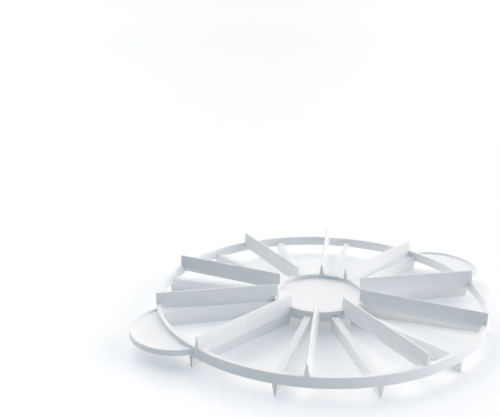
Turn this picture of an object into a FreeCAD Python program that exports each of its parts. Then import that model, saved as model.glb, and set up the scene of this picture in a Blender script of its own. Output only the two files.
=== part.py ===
"""Double-sided cake portion marker: one injection-moulded piece of white plastic.

Millimetres. The origin is on the surface that the marker stands on, under the middle of the
ring. +X runs along the two handles and +Z is up, with the ten-portion blades on top. The
mould parts along the mid-plane, halfway up: the flat roots of both sets of blades lie in it,
and the ring, the hub and the handles reach as far above it as below it.
"""
import FreeCAD
import Part

import math
import os

# Outer ring
RING_RADIUS = 135.0
RING_WALL = 3.1
RING_HEIGHT = 8.4

# Hub ring, and the closed floor halfway up inside it
HUB_RADIUS = 39.1
HUB_WALL = 3.8
HUB_HEIGHT = 8.2
FLOOR_THICKNESS = 1.8

# Blades, which press the portion lines into the cake
UPPER_PORTIONS = 10
LOWER_PORTIONS = 12
BLADE_DEPTH = 13.4
BLADE_ROOT_WIDTH = 5.4
BLADE_TIP_RADIUS = 0.75

# Handles: each a thin web with a raised rim round its arc
HANDLE_RADIUS = 37.9
HANDLE_REACH = 27.6
RIM_HEIGHT = 4.8
RIM_WIDTH = 2.2
RIM_SLOPE = 0.9
WEB_THICKNESS = 2.2

# Moulded edges: the small bevel on the ring and the hub, the round on the handle's rim
EDGE_BEVEL = 0.4
RIM_ROUND = 0.5

MID_PLANE = BLADE_DEPTH
ORIGIN = FreeCAD.Vector()
UP = FreeCAD.Vector(0, 0, 1)


def turned(outline, axis_x=0.0):
    """Solid of revolution about the upright line at axis_x, from (radius, height) corners."""
    corners = [FreeCAD.Vector(axis_x + radius, 0, height) for radius, height in outline]
    section = Part.Face(Part.makePolygon(corners + corners[:1]))
    return section.revolve(FreeCAD.Vector(axis_x, 0, 0), UP, 360)


def round_edges(shape, radius):
    """The edges of a turned solid that are full circles of the given radius."""
    return [
        edge for edge in shape.Edges
        if isinstance(edge.Curve, Part.Circle) and abs(edge.Curve.Radius - radius) < 1e-6
    ]


def hoop(radius, wall, height):
    """Upright ring wall, centred on the mid-plane, with all four of its edges bevelled."""
    low = MID_PLANE - height / 2
    high = MID_PLANE + height / 2
    plain = turned([(radius - wall, low), (radius, low), (radius, high), (radius - wall, high)])
    bevel = min(EDGE_BEVEL, 0.4 * wall)
    return plain.makeChamfer(bevel, round_edges(plain, radius) + round_edges(plain, radius - wall))


def hub():
    """Hub ring with its closed floor, which runs into the middle of the wall."""
    low = FreeCAD.Vector(0, 0, MID_PLANE - FLOOR_THICKNESS / 2)
    floor = Part.makeCylinder(HUB_RADIUS - HUB_WALL / 2, FLOOR_THICKNESS, low)
    return hoop(HUB_RADIUS, HUB_WALL, HUB_HEIGHT).fuse(floor)


def blade_section():
    """Face across an upper blade: a wedge on its flat root, with one round for its tip.

    Each flank is the line from the root's corner that is tangent to the tip's circle. The
    normal of the flank leans up from the level by the angle called lean.
    """
    half_root = BLADE_ROOT_WIDTH / 2
    tip_centre = BLADE_DEPTH - BLADE_TIP_RADIUS
    reach = math.hypot(half_root, tip_centre)
    lean = math.acos(BLADE_TIP_RADIUS / reach) - math.atan2(tip_centre, half_root)
    touch_x = BLADE_TIP_RADIUS * math.cos(lean)
    touch_z = MID_PLANE + tip_centre + BLADE_TIP_RADIUS * math.sin(lean)
    root_left = FreeCAD.Vector(-half_root, 0, MID_PLANE)
    root_right = FreeCAD.Vector(half_root, 0, MID_PLANE)
    tip_left = FreeCAD.Vector(-touch_x, 0, touch_z)
    tip_right = FreeCAD.Vector(touch_x, 0, touch_z)
    tip = FreeCAD.Vector(0, 0, MID_PLANE + BLADE_DEPTH)
    return Part.Face(Part.Wire([
        Part.makeLine(root_left, root_right),
        Part.makeLine(root_right, tip_right),
        Part.Arc(tip_right, tip, tip_left).toShape(),
        Part.makeLine(tip_left, root_left),
    ]))


def blade():
    """Upper blade along +X, its ends flush with the hub's inner and the ring's outer wall."""
    run_out = FreeCAD.Vector(0, RING_RADIUS + BLADE_ROOT_WIDTH, 0)
    wedge = blade_section().extrude(run_out).rotated(ORIGIN, UP, -90)
    full_height = 2 * BLADE_DEPTH
    ring_side = Part.makeCylinder(RING_RADIUS, full_height)
    hub_side = Part.makeCylinder(HUB_RADIUS - HUB_WALL, full_height)
    return wedge.common(ring_side.cut(hub_side))


def spaced_round(first, portions):
    """Copies of a blade, one for each portion line, with +X midway between two of them."""
    step = 360 / portions
    return [first.rotated(ORIGIN, UP, (index + 0.5) * step) for index in range(portions)]


def handle():
    """Handle on +X: a disc with a raised, rounded rim, cut to what stands out of the ring."""
    web = WEB_THICKNESS / 2
    rim = RIM_HEIGHT / 2
    crest = HANDLE_RADIUS - RIM_WIDTH
    foot = crest - RIM_SLOPE
    plain = turned(
        [
            (0, MID_PLANE - web),
            (foot, MID_PLANE - web),
            (crest, MID_PLANE - rim),
            (HANDLE_RADIUS, MID_PLANE - rim),
            (HANDLE_RADIUS, MID_PLANE + rim),
            (crest, MID_PLANE + rim),
            (foot, MID_PLANE + web),
            (0, MID_PLANE + web),
        ],
        RING_RADIUS + HANDLE_REACH - HANDLE_RADIUS,
    )
    rim_round = min(RIM_ROUND, 0.4 * RIM_HEIGHT, 0.6 * RIM_WIDTH)
    disc = plain.makeFillet(rim_round, round_edges(plain, HANDLE_RADIUS))
    seat = Part.makeCylinder(RING_RADIUS - RING_WALL / 2, 2 * BLADE_DEPTH)
    return disc.cut(seat)


def portion_marker():
    """The whole moulding as one solid."""
    right_handle = handle()
    left_handle = right_handle.rotated(ORIGIN, UP, 180)
    upper_blade = blade()
    middle = FreeCAD.Vector(0, 0, MID_PLANE)
    lower_blade = upper_blade.rotated(middle, FreeCAD.Vector(1, 0, 0), 180)
    pieces = [hub(), right_handle, left_handle]
    pieces += spaced_round(upper_blade, UPPER_PORTIONS)
    pieces += spaced_round(lower_blade, LOWER_PORTIONS)
    return hoop(RING_RADIUS, RING_WALL, RING_HEIGHT).fuse(pieces).removeSplitter()


def main():
    """Write the moulding's STEP file and print its size."""
    os.makedirs("parts", exist_ok=True)
    marker = portion_marker()
    marker.exportStep("parts/portion_marker.step")
    box = marker.optimalBoundingBox(False)
    print("solids", len(marker.Solids), "valid", marker.isValid())
    print("size", round(box.XLength, 3), round(box.YLength, 3), round(box.ZLength, 3))


main()
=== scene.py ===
"""Looks of the cake portion marker: one white plastic moulding on a white studio floor.

Metres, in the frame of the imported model: the origin is under the middle of the ring on the
surface that the marker stands on, +X runs along the handles and +Z is up.
"""
import math

import bmesh
import bpy
import numpy as np
from mathutils import Matrix, Vector


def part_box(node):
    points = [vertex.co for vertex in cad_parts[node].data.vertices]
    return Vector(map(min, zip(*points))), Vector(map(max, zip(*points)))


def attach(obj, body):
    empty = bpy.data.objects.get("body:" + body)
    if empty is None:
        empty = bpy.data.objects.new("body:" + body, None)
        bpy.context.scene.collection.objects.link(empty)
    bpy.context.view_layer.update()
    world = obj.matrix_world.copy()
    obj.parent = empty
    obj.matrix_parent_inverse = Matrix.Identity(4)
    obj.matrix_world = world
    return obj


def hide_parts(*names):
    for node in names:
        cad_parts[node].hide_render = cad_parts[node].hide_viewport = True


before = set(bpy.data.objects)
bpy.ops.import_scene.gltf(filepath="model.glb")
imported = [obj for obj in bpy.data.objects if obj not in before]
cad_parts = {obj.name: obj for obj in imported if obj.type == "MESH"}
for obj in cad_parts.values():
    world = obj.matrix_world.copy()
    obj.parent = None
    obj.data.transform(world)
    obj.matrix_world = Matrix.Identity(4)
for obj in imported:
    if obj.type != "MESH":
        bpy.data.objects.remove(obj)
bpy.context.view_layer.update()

NODE = "portion_marker"
MM = 0.001

# Sizes that the frame gives
node_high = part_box(NODE)[1]
RING_RADIUS = node_high.y
HANDLE_END = node_high.x
MID_PLANE = node_high.z / 2
BLADE_DEPTH = node_high.z - MID_PLANE

# Sections of the moulding
RING_WALL = 3.1 * MM
RING_HEIGHT = 8.4 * MM
HUB_RADIUS = 39.1 * MM
HUB_WALL = 3.8 * MM
HUB_HEIGHT = 8.2 * MM
FLOOR_THICKNESS = 1.8 * MM
BLADE_ROOT_WIDTH = 5.4 * MM
BLADE_TIP_RADIUS = 0.75 * MM
HANDLE_RADIUS = 37.9 * MM
RIM_HEIGHT = 4.8 * MM
RIM_WIDTH = 2.2 * MM
RIM_SLOPE = 0.9 * MM
WEB_THICKNESS = 2.2 * MM
UPPER_PORTIONS = 10
LOWER_PORTIONS = 12

# Rounds that the mould leaves on the edges and in the corners
WALL_EDGE_ROUND = 0.45 * MM
FLOOR_FILLET = 1.0 * MM
RIM_CREST_ROUND = 0.5 * MM
RIM_INNER_ROUND = 0.4 * MM
RIM_FOOT_ROUND = 0.8 * MM
BLADE_END_ROUND = 0.25 * MM
BLADE_FILLET = 1.0 * MM

# Where a blade's fillet ends: along the blade from a wall, and above the mid-plane, which is
# the hub wall's edge. It fades out over the last part of that height.
FILLET_REACH = 0.94 * BLADE_FILLET
FILLET_TOP = HUB_HEIGHT / 2
FILLET_FADE = 1.2 * BLADE_FILLET

# The largest share of its half-width that a blade loses to the round at its end
END_ROUND_SHARE = 0.8

# How far one form runs into another, so that they join cleanly, and how close two points of
# a form lie when they are one
SEAM_OVERLAP = 0.05 * MM
MERGE_DISTANCE = 0.0001 * MM

# Steps of the surfaces
ROUND_STEPS = 5
RING_STEPS = 480
HUB_STEPS = 288
HANDLE_STEPS = 240
BLADE_STEPS = 9

# Steps along a blade where a fillet lies, from a little inside the wall to where the blade is
# plain, in shares of the fillet's radius
FILLET_RUN = (-0.1, 1)
FILLET_STEPS = 9

# Steps up a blade's flank: its foot, where a fillet is full, the band where the fillet fades
# out, and the rest up to the tip. The first two are heights above the mid-plane.
FLANK_FOOT = (0.1 * FILLET_TOP, FILLET_TOP - 2 * BLADE_FILLET)
FLANK_FADE = (FILLET_TOP - 1.5 * BLADE_FILLET, FILLET_TOP)
FLANK_STEPS = (3, 6, 6)

# Shading: the bend past which an edge is sharp, and how strongly large faces lead at corners
SMOOTH_ANGLE = math.radians(35)
FACE_LEAD = 100

# The photograph's view: the lens's heading, tilt and roll, and the camera's way from the
# middle of the ring as seen along that heading (right, forward, up)
VIEW_HEADING = math.radians(-27.0)
VIEW_TILT = math.radians(17.593)
VIEW_ROLL = math.radians(-0.345)
CAMERA_RIGHT = -57.35 * MM
CAMERA_FORWARD = -526.0 * MM
CAMERA_UP = 243.8 * MM
LENS_MM = 49.48
SENSOR_MM = 36.0
NEAREST_SEEN = 10 * MM

# The plastic's two tints, between which it drifts, its gloss and its milkiness
PLASTIC_DEEP = (0.88, 0.888, 0.893, 1)
PLASTIC_LIGHT = (0.92, 0.925, 0.928, 1)
GLOSS_ROUGHNESS = (0.30, 0.36)
STREAK_ROUGHNESS = 0.03
PLASTIC_IOR = 1.49
MILKINESS = 0.3
MILK_DEPTH = 1.5 * MM
MILK_COLOUR = (1.0, 0.9, 0.8)

# Noises on the plastic: grains per metre, and detail, which is the number of finer layers.
# The streaks' noise is read on a circle with a radius of STREAK_CIRCLE grains. Nearly all
# values of a noise lie within NOISE_SPAN.
CLOUD_GRAINS = 45
CLOUD_DETAIL = 3
RIPPLE_GRAINS = 900
RIPPLE_DETAIL = 2
STREAK_CIRCLE = 8
STREAK_GRAINS_ALONG = 40
STREAK_DETAIL = 3
NOISE_SPAN = (0.3, 0.7)

# Relief of the skin. The streaks' height is given against the ripple's.
RELIEF_DEPTH = 0.02 * MM
RELIEF_STRENGTH = 0.35
STREAK_HEIGHT = 1.5

# The studio's soft lights: degrees round from the right of the view, degrees up, focus (more
# is narrower), and the strength of red, green and blue. The last two are the far wall.
SOFT_LIGHTS = [
    (0, 12, 8, (4.03, 3.74, 3.74)),
    (45, 12, 8, (0.59, 0.59, 0.51)),
    (90, 12, 8, (0.42, 0.40, 0.31)),
    (135, 12, 8, (0.00, 0.34, 0.52)),
    (0, 50, 8, (0.92, 0.54, 0.33)),
    (90, 50, 8, (0.28, 0.43, 0.61)),
    (135, 50, 8, (3.08, 2.43, 1.98)),
    (180, 50, 8, (0.26, 0.62, 0.90)),
    (315, 50, 8, (0.00, 0.53, 0.84)),
    (65, 3, 12, (0.42, 0.42, 0.42)),
    (115, 3, 12, (0.42, 0.42, 0.42)),
]
BACKDROP_WHITE = (1, 1, 1, 1)

# The floor: how far it reaches from the marker, in metres, and its surface
FLOOR_REACH = 20.0
FLOOR_WHITE = (0.82, 0.82, 0.82, 1)
FLOOR_ROUGHNESS = 0.22
FLOOR_GLOW = (0.188, 0.196, 0.201, 1)


def mesh_object(name, vertices, faces):
    """Object at the origin with the given mesh, doubles merged and faces turned outwards."""
    mesh = bpy.data.meshes.new(name)
    mesh.from_pydata(vertices.tolist(), [], faces)
    piece = bpy.data.objects.new(name, mesh)
    bpy.context.scene.collection.objects.link(piece)
    work = bmesh.new()
    work.from_mesh(mesh)
    bmesh.ops.remove_doubles(work, verts=work.verts, dist=MERGE_DISTANCE)
    bmesh.ops.recalc_face_normals(work, faces=work.faces)
    work.to_mesh(mesh)
    work.free()
    return piece


def rounded_profile(corners, radii):
    """Outline through corners with each one rounded: an arc tangent to both its sides.

    The arc's points are the circle's centre plus the radius times a unit vector that swings
    evenly from one tangent point's direction to the other's. Where the radius is nothing,
    they fall together in the corner and are merged later.
    """
    point = np.array(corners, float)
    radius = np.array(radii, float)[:, None]
    before = np.roll(point, 1, 0) - point
    after = np.roll(point, -1, 0) - point
    before /= np.linalg.norm(before, axis=1, keepdims=True)
    after /= np.linalg.norm(after, axis=1, keepdims=True)
    half = np.arccos(np.clip((before * after).sum(1), -1, 1))[:, None] / 2
    middle = before + after
    middle /= np.linalg.norm(middle, axis=1, keepdims=True)
    centre = point + middle * radius / np.sin(half)
    start = point + before * radius / np.tan(half) - centre
    end = point + after * radius / np.tan(half) - centre
    swing = (math.pi - 2 * half)[:, None, :]
    share = np.linspace(0, 1, ROUND_STEPS + 1)[None, :, None]
    spokes = np.sin((1 - share) * swing) * start[:, None] + np.sin(share * swing) * end[:, None]
    return (centre[:, None] + spokes / np.sin(swing)).reshape(-1, 2)


def grid_faces(rows, columns, wrap_rows, wrap_columns):
    """Quads between neighbours of a grid whose points are numbered row by row.

    Where it wraps, the last row or column has the first as its neighbour.
    """
    row = np.arange(rows if wrap_rows else rows - 1)[:, None]
    column = np.arange(columns if wrap_columns else columns - 1)[None, :]
    this_row = row * columns
    next_row = (row + 1) % rows * columns
    next_column = (column + 1) % columns
    quads = [this_row + column, next_row + column, next_row + next_column, this_row + next_column]
    return np.stack(quads, -1).reshape(-1, 4).tolist()


def turned(name, profile, steps, axis_x=0.0, closed=True):
    """Surface of revolution: the profile's (radius, height) points carried round an axis.

    x = axis + radius cos(turn), y = radius sin(turn), z = height. An open profile starts and
    ends on the axis, where its points merge into one.
    """
    turn = np.linspace(0, 2 * math.pi, steps, endpoint=False)[:, None]
    radius, height = profile[None, :, 0], profile[None, :, 1]
    x = axis_x + radius * np.cos(turn)
    y = radius * np.sin(turn)
    grid = np.stack([x, y, height + 0 * turn], axis=-1)
    return mesh_object(name, grid.reshape(-1, 3), grid_faces(steps, len(profile), True, closed))


def outer_ring(name):
    """Plain upright hoop with rounded edges, centred on the mid-plane."""
    low = MID_PLANE - RING_HEIGHT / 2
    high = MID_PLANE + RING_HEIGHT / 2
    inner = RING_RADIUS - RING_WALL
    corners = [(inner, low), (RING_RADIUS, low), (RING_RADIUS, high), (inner, high)]
    return turned(name, rounded_profile(corners, [WALL_EDGE_ROUND] * 4), RING_STEPS)


def mirrored_profile(half, rounds):
    """Open outline from the axis and back to it, the same below the mid-plane as above it.

    half holds (radius, height above the mid-plane) corners, from the axis outwards.
    """
    below = [(radius, MID_PLANE - height) for radius, height in half]
    above = [(radius, MID_PLANE + height) for radius, height in half[::-1]]
    return rounded_profile(below + above, rounds + rounds[::-1])


def hub(name):
    """Hub wall and its closed floor as one turned surface, with fillets where they meet."""
    inner = HUB_RADIUS - HUB_WALL
    half = [
        (0, FLOOR_THICKNESS / 2),
        (inner, FLOOR_THICKNESS / 2),
        (inner, HUB_HEIGHT / 2),
        (HUB_RADIUS, HUB_HEIGHT / 2),
    ]
    profile = mirrored_profile(half, [0, FLOOR_FILLET, WALL_EDGE_ROUND, WALL_EDGE_ROUND])
    return turned(name, profile, HUB_STEPS, closed=False)


def handle_disc(name, side):
    """Whole disc of a handle: a thin web and a raised rim with a round crest and foot."""
    crest = HANDLE_RADIUS - RIM_WIDTH
    half = [
        (0, WEB_THICKNESS / 2),
        (crest - RIM_SLOPE, WEB_THICKNESS / 2),
        (crest, RIM_HEIGHT / 2),
        (HANDLE_RADIUS, RIM_HEIGHT / 2),
    ]
    profile = mirrored_profile(half, [0, RIM_FOOT_ROUND, RIM_INNER_ROUND, RIM_CREST_ROUND])
    return turned(name, profile, HANDLE_STEPS, side * (HANDLE_END - HANDLE_RADIUS), closed=False)


def ring_core(name):
    """Cylinder as wide as the middle of the ring's wall, which cuts a handle's disc to fit."""
    radius = RING_RADIUS - RING_WALL / 2
    profile = np.array([[0, 0], [radius, 0], [radius, 2 * MID_PLANE], [0, 2 * MID_PLANE]])
    return turned(name, profile, RING_STEPS, closed=False)


def blade_section():
    """Outline across an upper blade, from the right of its root over the tip to the left.

    A straight flank runs from the root's corner to where it is tangent to the tip's circle,
    and lean is the angle by which that flank's normal rises above the level. Points crowd
    near the height of the walls' edges, where the fillets fade out.
    """
    half_root = BLADE_ROOT_WIDTH / 2
    tip_centre = BLADE_DEPTH - BLADE_TIP_RADIUS
    reach = math.hypot(half_root, tip_centre)
    lean = math.acos(BLADE_TIP_RADIUS / reach) - math.atan2(tip_centre, half_root)
    touch_y = BLADE_TIP_RADIUS * math.cos(lean)
    touch_z = tip_centre + BLADE_TIP_RADIUS * math.sin(lean)
    foot_steps, fade_steps, upper_steps = FLANK_STEPS
    flank_z = np.concatenate([
        [-SEAM_OVERLAP],
        np.linspace(*FLANK_FOOT, foot_steps),
        np.linspace(*FLANK_FADE, fade_steps),
        np.linspace(FILLET_TOP, touch_z, upper_steps)[1:],
    ])
    flank_y = half_root + (touch_y - half_root) * np.clip(flank_z, 0, None) / touch_z
    arc = np.linspace(lean, math.pi / 2, ROUND_STEPS + 1)[1:]
    right_y = np.concatenate([flank_y, BLADE_TIP_RADIUS * np.cos(arc)])
    right_z = np.concatenate([flank_z, tip_centre + BLADE_TIP_RADIUS * np.sin(arc)])
    return np.concatenate([right_y, -right_y[-2::-1]]), np.concatenate([right_z, right_z[-2::-1]])


def fillet_flare(run, height):
    """Extra half-width of a blade close to a wall, for distance from it and height.

    It is the radius less the root of radius squared minus depth squared, where depth is how
    far a point lies inside the fillet's reach: a circle, tangent to the blade's flank, that
    enters the wall steeply. Below the wall's edge it fades by 3 f f - 2 f f f, where f grows
    evenly from 0 at that edge to 1.
    """
    depth = np.clip(FILLET_REACH - run, 0, FILLET_REACH)
    flare = BLADE_FILLET - np.sqrt(BLADE_FILLET ** 2 - depth ** 2)
    fade = np.clip((FILLET_TOP - height) / FILLET_FADE, 0, 1)
    return flare * fade * fade * (3 - 2 * fade)


def blade_stations():
    """Distances from the ring's middle at which a blade's section is set out.

    They crowd at both ends, where the end's edges are rounded, and at both walls' faces,
    where the fillets start.
    """
    bend = BLADE_END_ROUND * (1 - np.cos(np.linspace(0, math.pi / 2, ROUND_STEPS)))
    fillet = np.linspace(*FILLET_RUN, FILLET_STEPS) * BLADE_FILLET
    hub_run = HUB_WALL - SEAM_OVERLAP
    ring_run = RING_WALL - SEAM_OVERLAP
    inner = HUB_RADIUS - HUB_WALL + SEAM_OVERLAP + np.concatenate([bend, hub_run + fillet])
    outer = RING_RADIUS - SEAM_OVERLAP - np.concatenate([bend, ring_run + fillet])
    span = np.linspace(inner[-1], outer[-1], BLADE_STEPS)[1:-1]
    return np.concatenate([inner, span, outer[::-1]])


def blade_set(name, portions, side):
    """All blades of one face as closed wedges, evenly spaced, with X midway between two.

    A blade is a grid of stations along its length by points round its section. y is the
    section's half-width, plus the fillet near a wall, less a quarter circle near an end,
    which also lowers the tip. x follows the station's circle, so both ends are as round as
    the walls that they lie in.
    """
    section_y, section_z = blade_section()
    station = blade_stations()
    end_run = np.minimum(station - station[0], station[-1] - station)
    wall_run = np.minimum(station - HUB_RADIUS, RING_RADIUS - RING_WALL - station)
    lost = np.clip(BLADE_END_ROUND - end_run, 0, None)[:, None]
    inset = BLADE_END_ROUND - np.sqrt(BLADE_END_ROUND ** 2 - lost ** 2)
    narrowed = np.minimum(inset, END_ROUND_SHARE * np.abs(section_y))
    flare = fillet_flare(wall_run[:, None], section_z)
    rise = np.clip(section_z / BLADE_DEPTH, 0, 1)
    y = section_y + np.sign(section_y) * (flare - narrowed)
    z = section_z - inset * rise
    x = np.sqrt(station[:, None] ** 2 - y ** 2)
    rows, columns = x.shape
    turn = ((np.arange(portions) + 0.5) * 2 * math.pi / portions)[:, None, None]
    grid = np.stack([
        x * np.cos(turn) - y * np.sin(turn),
        x * np.sin(turn) + y * np.cos(turn),
        MID_PLANE + side * z + 0 * turn,
    ], axis=-1)
    one = grid_faces(rows, columns, False, True)
    one += [list(range(columns)), list(range((rows - 1) * columns, rows * columns))]
    starts = range(0, portions * rows * columns, rows * columns)
    faces = [[start + corner for corner in face] for start in starts for face in one]
    return mesh_object(name, grid.reshape(-1, 3), faces)


def join_solid(base, other, operation="UNION"):
    """Boolean of two closed meshes, kept in the first; the second is removed.

    The Boolean leaves an empty material slot, which is cleared.
    """
    change = base.modifiers.new(operation, "BOOLEAN")
    change.operation = operation
    change.solver = "MANIFOLD"
    change.object = other
    evaluated = base.evaluated_get(bpy.context.evaluated_depsgraph_get())
    mesh = bpy.data.meshes.new_from_object(evaluated)
    mesh.materials.clear()
    base.modifiers.clear()
    base.data = mesh
    bpy.data.objects.remove(other)


def moulding():
    """The whole marker as one closed surface: ring, hub, both blade sets and both handles."""
    whole = outer_ring("portion_marker_moulding")
    for side in (-1, 1):
        disc = handle_disc("handle_disc", side)
        join_solid(disc, ring_core("ring_core"), "DIFFERENCE")
        join_solid(whole, disc)
    join_solid(whole, hub("hub"))
    join_solid(whole, blade_set("upper_blades", UPPER_PORTIONS, 1))
    join_solid(whole, blade_set("lower_blades", LOWER_PORTIONS, -1))
    whole.data.polygons.foreach_set("use_smooth", [True] * len(whole.data.polygons))
    whole.data.set_sharp_from_angle(angle=SMOOTH_ANGLE)
    shading = whole.modifiers.new("flat_faces_shade_flat", "WEIGHTED_NORMAL")
    shading.keep_sharp = True
    shading.weight = FACE_LEAD
    return whole


def fill_sockets(links, sockets, values):
    """Give each socket its value, or link it where the value is another node's output."""
    for socket, value in zip(sockets, values):
        if isinstance(value, bpy.types.NodeSocket):
            links.new(value, socket)
        else:
            socket.default_value = value


def math_node(nodes, links, operation, *values):
    """Result of a Math node on values that are each a number or another node's output."""
    node = nodes.new("ShaderNodeMath")
    node.operation = operation
    fill_sockets(links, node.inputs, values)
    return node.outputs["Value"]


def vector_node(nodes, links, operation, result, *values):
    """Result of a Vector Math node on values that are each a triple or another's output.

    result is "Vector", or "Value" where the operation gives one number.
    """
    node = nodes.new("ShaderNodeVectorMath")
    node.operation = operation
    fill_sockets(links, node.inputs, values)
    return node.outputs[result]


def noise_node(nodes, links, place, scale, detail):
    """Cloudy noise at a place, from 0 to 1, with grains that are 1/scale across."""
    node = nodes.new("ShaderNodeTexNoise")
    node.inputs["Scale"].default_value = scale
    node.inputs["Detail"].default_value = detail
    links.new(place, node.inputs["Vector"])
    return node.outputs["Fac"]


def range_node(nodes, links, value, low, high):
    """A noise's usual span spread over low to high, and held at these beyond its ends."""
    node = nodes.new("ShaderNodeMapRange")
    node.inputs["From Min"].default_value = NOISE_SPAN[0]
    node.inputs["From Max"].default_value = NOISE_SPAN[1]
    node.inputs["To Min"].default_value = low
    node.inputs["To Max"].default_value = high
    links.new(value, node.inputs["Value"])
    return node.outputs["Result"]


def flow_lines(nodes, links, place):
    """Faint streaks where the melt ran out from the gate in the middle of the hub's floor.

    Noise is read at (c x / r, c y / r, a r), where r is the distance from the gate's axis, c
    is STREAK_CIRCLE and a is STREAK_GRAINS_ALONG. So it is drawn out along the radius.
    """
    flat = vector_node(nodes, links, "MULTIPLY", "Vector", place, (1, 1, 0))
    heading = vector_node(nodes, links, "NORMALIZE", "Vector", flat)
    distance = vector_node(nodes, links, "LENGTH", "Value", flat)
    along = nodes.new("ShaderNodeCombineXYZ")
    grains_out = math_node(nodes, links, "MULTIPLY", distance, STREAK_GRAINS_ALONG)
    links.new(grains_out, along.inputs["Z"])
    spot = vector_node(nodes, links, "MULTIPLY_ADD", "Vector",
                       heading, (STREAK_CIRCLE,) * 3, along.outputs["Vector"])
    return noise_node(nodes, links, spot, 1.0, STREAK_DETAIL)


def white_plastic():
    """Moulded plastic: bright white, semi-gloss, a little milky.

    Colour and gloss drift slowly over the piece. Its skin has the mould's fine orange-peel
    ripple, and the broader and gentler flow lines out from the gate.
    """
    material = bpy.data.materials.new("white_moulded_plastic")
    material.use_nodes = True
    nodes, links = material.node_tree.nodes, material.node_tree.links
    shader = nodes["Principled BSDF"]
    place = nodes.new("ShaderNodeTexCoord").outputs["Object"]
    cloud = noise_node(nodes, links, place, CLOUD_GRAINS, CLOUD_DETAIL)
    flow = flow_lines(nodes, links, place)
    tint = nodes.new("ShaderNodeMix")
    tint.data_type = "RGBA"
    tint.inputs["A"].default_value = PLASTIC_DEEP
    tint.inputs["B"].default_value = PLASTIC_LIGHT
    links.new(range_node(nodes, links, cloud, 0, 1), tint.inputs["Factor"])
    links.new(tint.outputs["Result"], shader.inputs["Base Color"])
    gloss = math_node(nodes, links, "ADD",
                      range_node(nodes, links, cloud, *GLOSS_ROUGHNESS),
                      range_node(nodes, links, flow, -STREAK_ROUGHNESS, STREAK_ROUGHNESS))
    links.new(gloss, shader.inputs["Roughness"])
    ripple = noise_node(nodes, links, place, RIPPLE_GRAINS, RIPPLE_DETAIL)
    height = math_node(nodes, links, "ADD", ripple,
                       math_node(nodes, links, "MULTIPLY", flow, STREAK_HEIGHT))
    bump = nodes.new("ShaderNodeBump")
    bump.inputs["Strength"].default_value = RELIEF_STRENGTH
    bump.inputs["Distance"].default_value = RELIEF_DEPTH
    links.new(height, bump.inputs["Height"])
    links.new(bump.outputs["Normal"], shader.inputs["Normal"])
    shader.inputs["IOR"].default_value = PLASTIC_IOR
    shader.inputs["Subsurface Weight"].default_value = MILKINESS
    shader.inputs["Subsurface Radius"].default_value = MILK_COLOUR
    shader.inputs["Subsurface Scale"].default_value = MILK_DEPTH
    return material


def studio_floor():
    """Satin white floor, far wider than the view, that glows a little."""
    corner = np.array([[-1, -1, 0], [1, -1, 0], [1, 1, 0], [-1, 1, 0]]) * FLOOR_REACH
    floor = mesh_object("studio_floor", corner, [[0, 1, 2, 3]])
    material = bpy.data.materials.new("studio_white")
    material.use_nodes = True
    shader = material.node_tree.nodes["Principled BSDF"]
    shader.inputs["Base Color"].default_value = FLOOR_WHITE
    shader.inputs["Roughness"].default_value = FLOOR_ROUGHNESS
    shader.inputs["Emission Color"].default_value = FLOOR_GLOW
    shader.inputs["Emission Strength"].default_value = 1.0
    floor.data.materials.append(material)


def soft_light(nodes, links, sight, around, upward, focus, colour):
    """One soft light on the studio's walls, brightest in the middle and fading evenly.

    Its strength is the cosine of the angle from its middle, to the power of its focus.
    """
    turn, rise = math.radians(around) + VIEW_HEADING, math.radians(upward)
    middle = (math.cos(turn) * math.cos(rise), math.sin(turn) * math.cos(rise), math.sin(rise))
    cosine = vector_node(nodes, links, "DOT_PRODUCT", "Value", sight, middle)
    facing = math_node(nodes, links, "MAXIMUM", cosine, 0)
    strength = nodes.new("ShaderNodeVectorMath")
    strength.operation = "SCALE"
    strength.inputs["Vector"].default_value = colour
    links.new(math_node(nodes, links, "POWER", facing, focus), strength.inputs["Scale"])
    return strength.outputs["Vector"]


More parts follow.
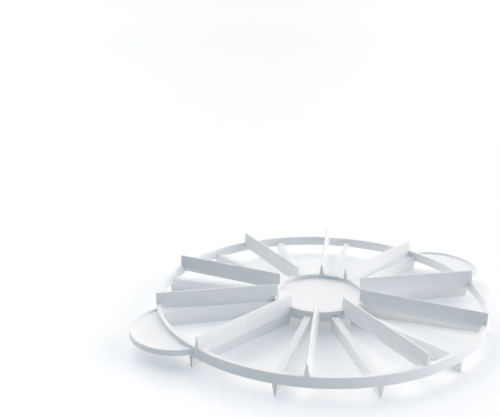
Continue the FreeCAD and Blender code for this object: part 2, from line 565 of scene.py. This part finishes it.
def studio_light():
    """The studio's walls: the sum of the soft lights, but plain white where the lens sees them."""
    world = bpy.data.worlds.new("studio")
    bpy.context.scene.world = world
    world.use_nodes = True
    nodes, links = world.node_tree.nodes, world.node_tree.links
    sight = nodes.new("ShaderNodeTexCoord").outputs["Generated"]
    total = soft_light(nodes, links, sight, *SOFT_LIGHTS[0])
    for light in SOFT_LIGHTS[1:]:
        added = soft_light(nodes, links, sight, *light)
        total = vector_node(nodes, links, "ADD", "Vector", total, added)
    walls = nodes["Background"]
    links.new(total, walls.inputs["Color"])
    backdrop = nodes.new("ShaderNodeBackground")
    backdrop.inputs["Color"].default_value = BACKDROP_WHITE
    ray = nodes.new("ShaderNodeLightPath")
    mix = nodes.new("ShaderNodeMixShader")
    links.new(ray.outputs["Is Camera Ray"], mix.inputs["Fac"])
    links.new(walls.outputs["Background"], mix.inputs[1])
    links.new(backdrop.outputs["Background"], mix.inputs[2])
    links.new(mix.outputs["Shader"], nodes["World Output"].inputs["Surface"])


def camera_place():
    """Where the camera stands: its way from the middle of the ring, turned to its heading."""
    way = Matrix.Rotation(VIEW_HEADING, 3, "Z") @ Vector((CAMERA_RIGHT, CAMERA_FORWARD, CAMERA_UP))
    return way + Vector((0, 0, MID_PLANE))


def camera():
    """Camera at the photograph's place, with its heading, tilt and roll."""
    data = bpy.data.cameras.new("camera")
    data.lens = LENS_MM
    data.sensor_width = SENSOR_MM
    data.sensor_fit = "HORIZONTAL"
    data.clip_start = NEAREST_SEEN
    viewer = bpy.data.objects.new("camera", data)
    turn = Matrix.Rotation(VIEW_HEADING, 4, "Z")
    tilt = Matrix.Rotation(math.pi / 2 - VIEW_TILT, 4, "X")
    roll = Matrix.Rotation(VIEW_ROLL, 4, "Z")
    viewer.matrix_world = Matrix.Translation(camera_place()) @ turn @ tilt @ roll
    bpy.context.scene.collection.objects.link(viewer)
    bpy.context.scene.camera = viewer


def main():
    """Dress the marker, light it and put the camera in place."""
    bpy.context.scene.view_settings.view_transform = "Standard"
    marker = moulding()
    marker.data.materials.append(white_plastic())
    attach(marker, "root")
    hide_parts(NODE)
    studio_floor()
    studio_light()
    camera()


main()
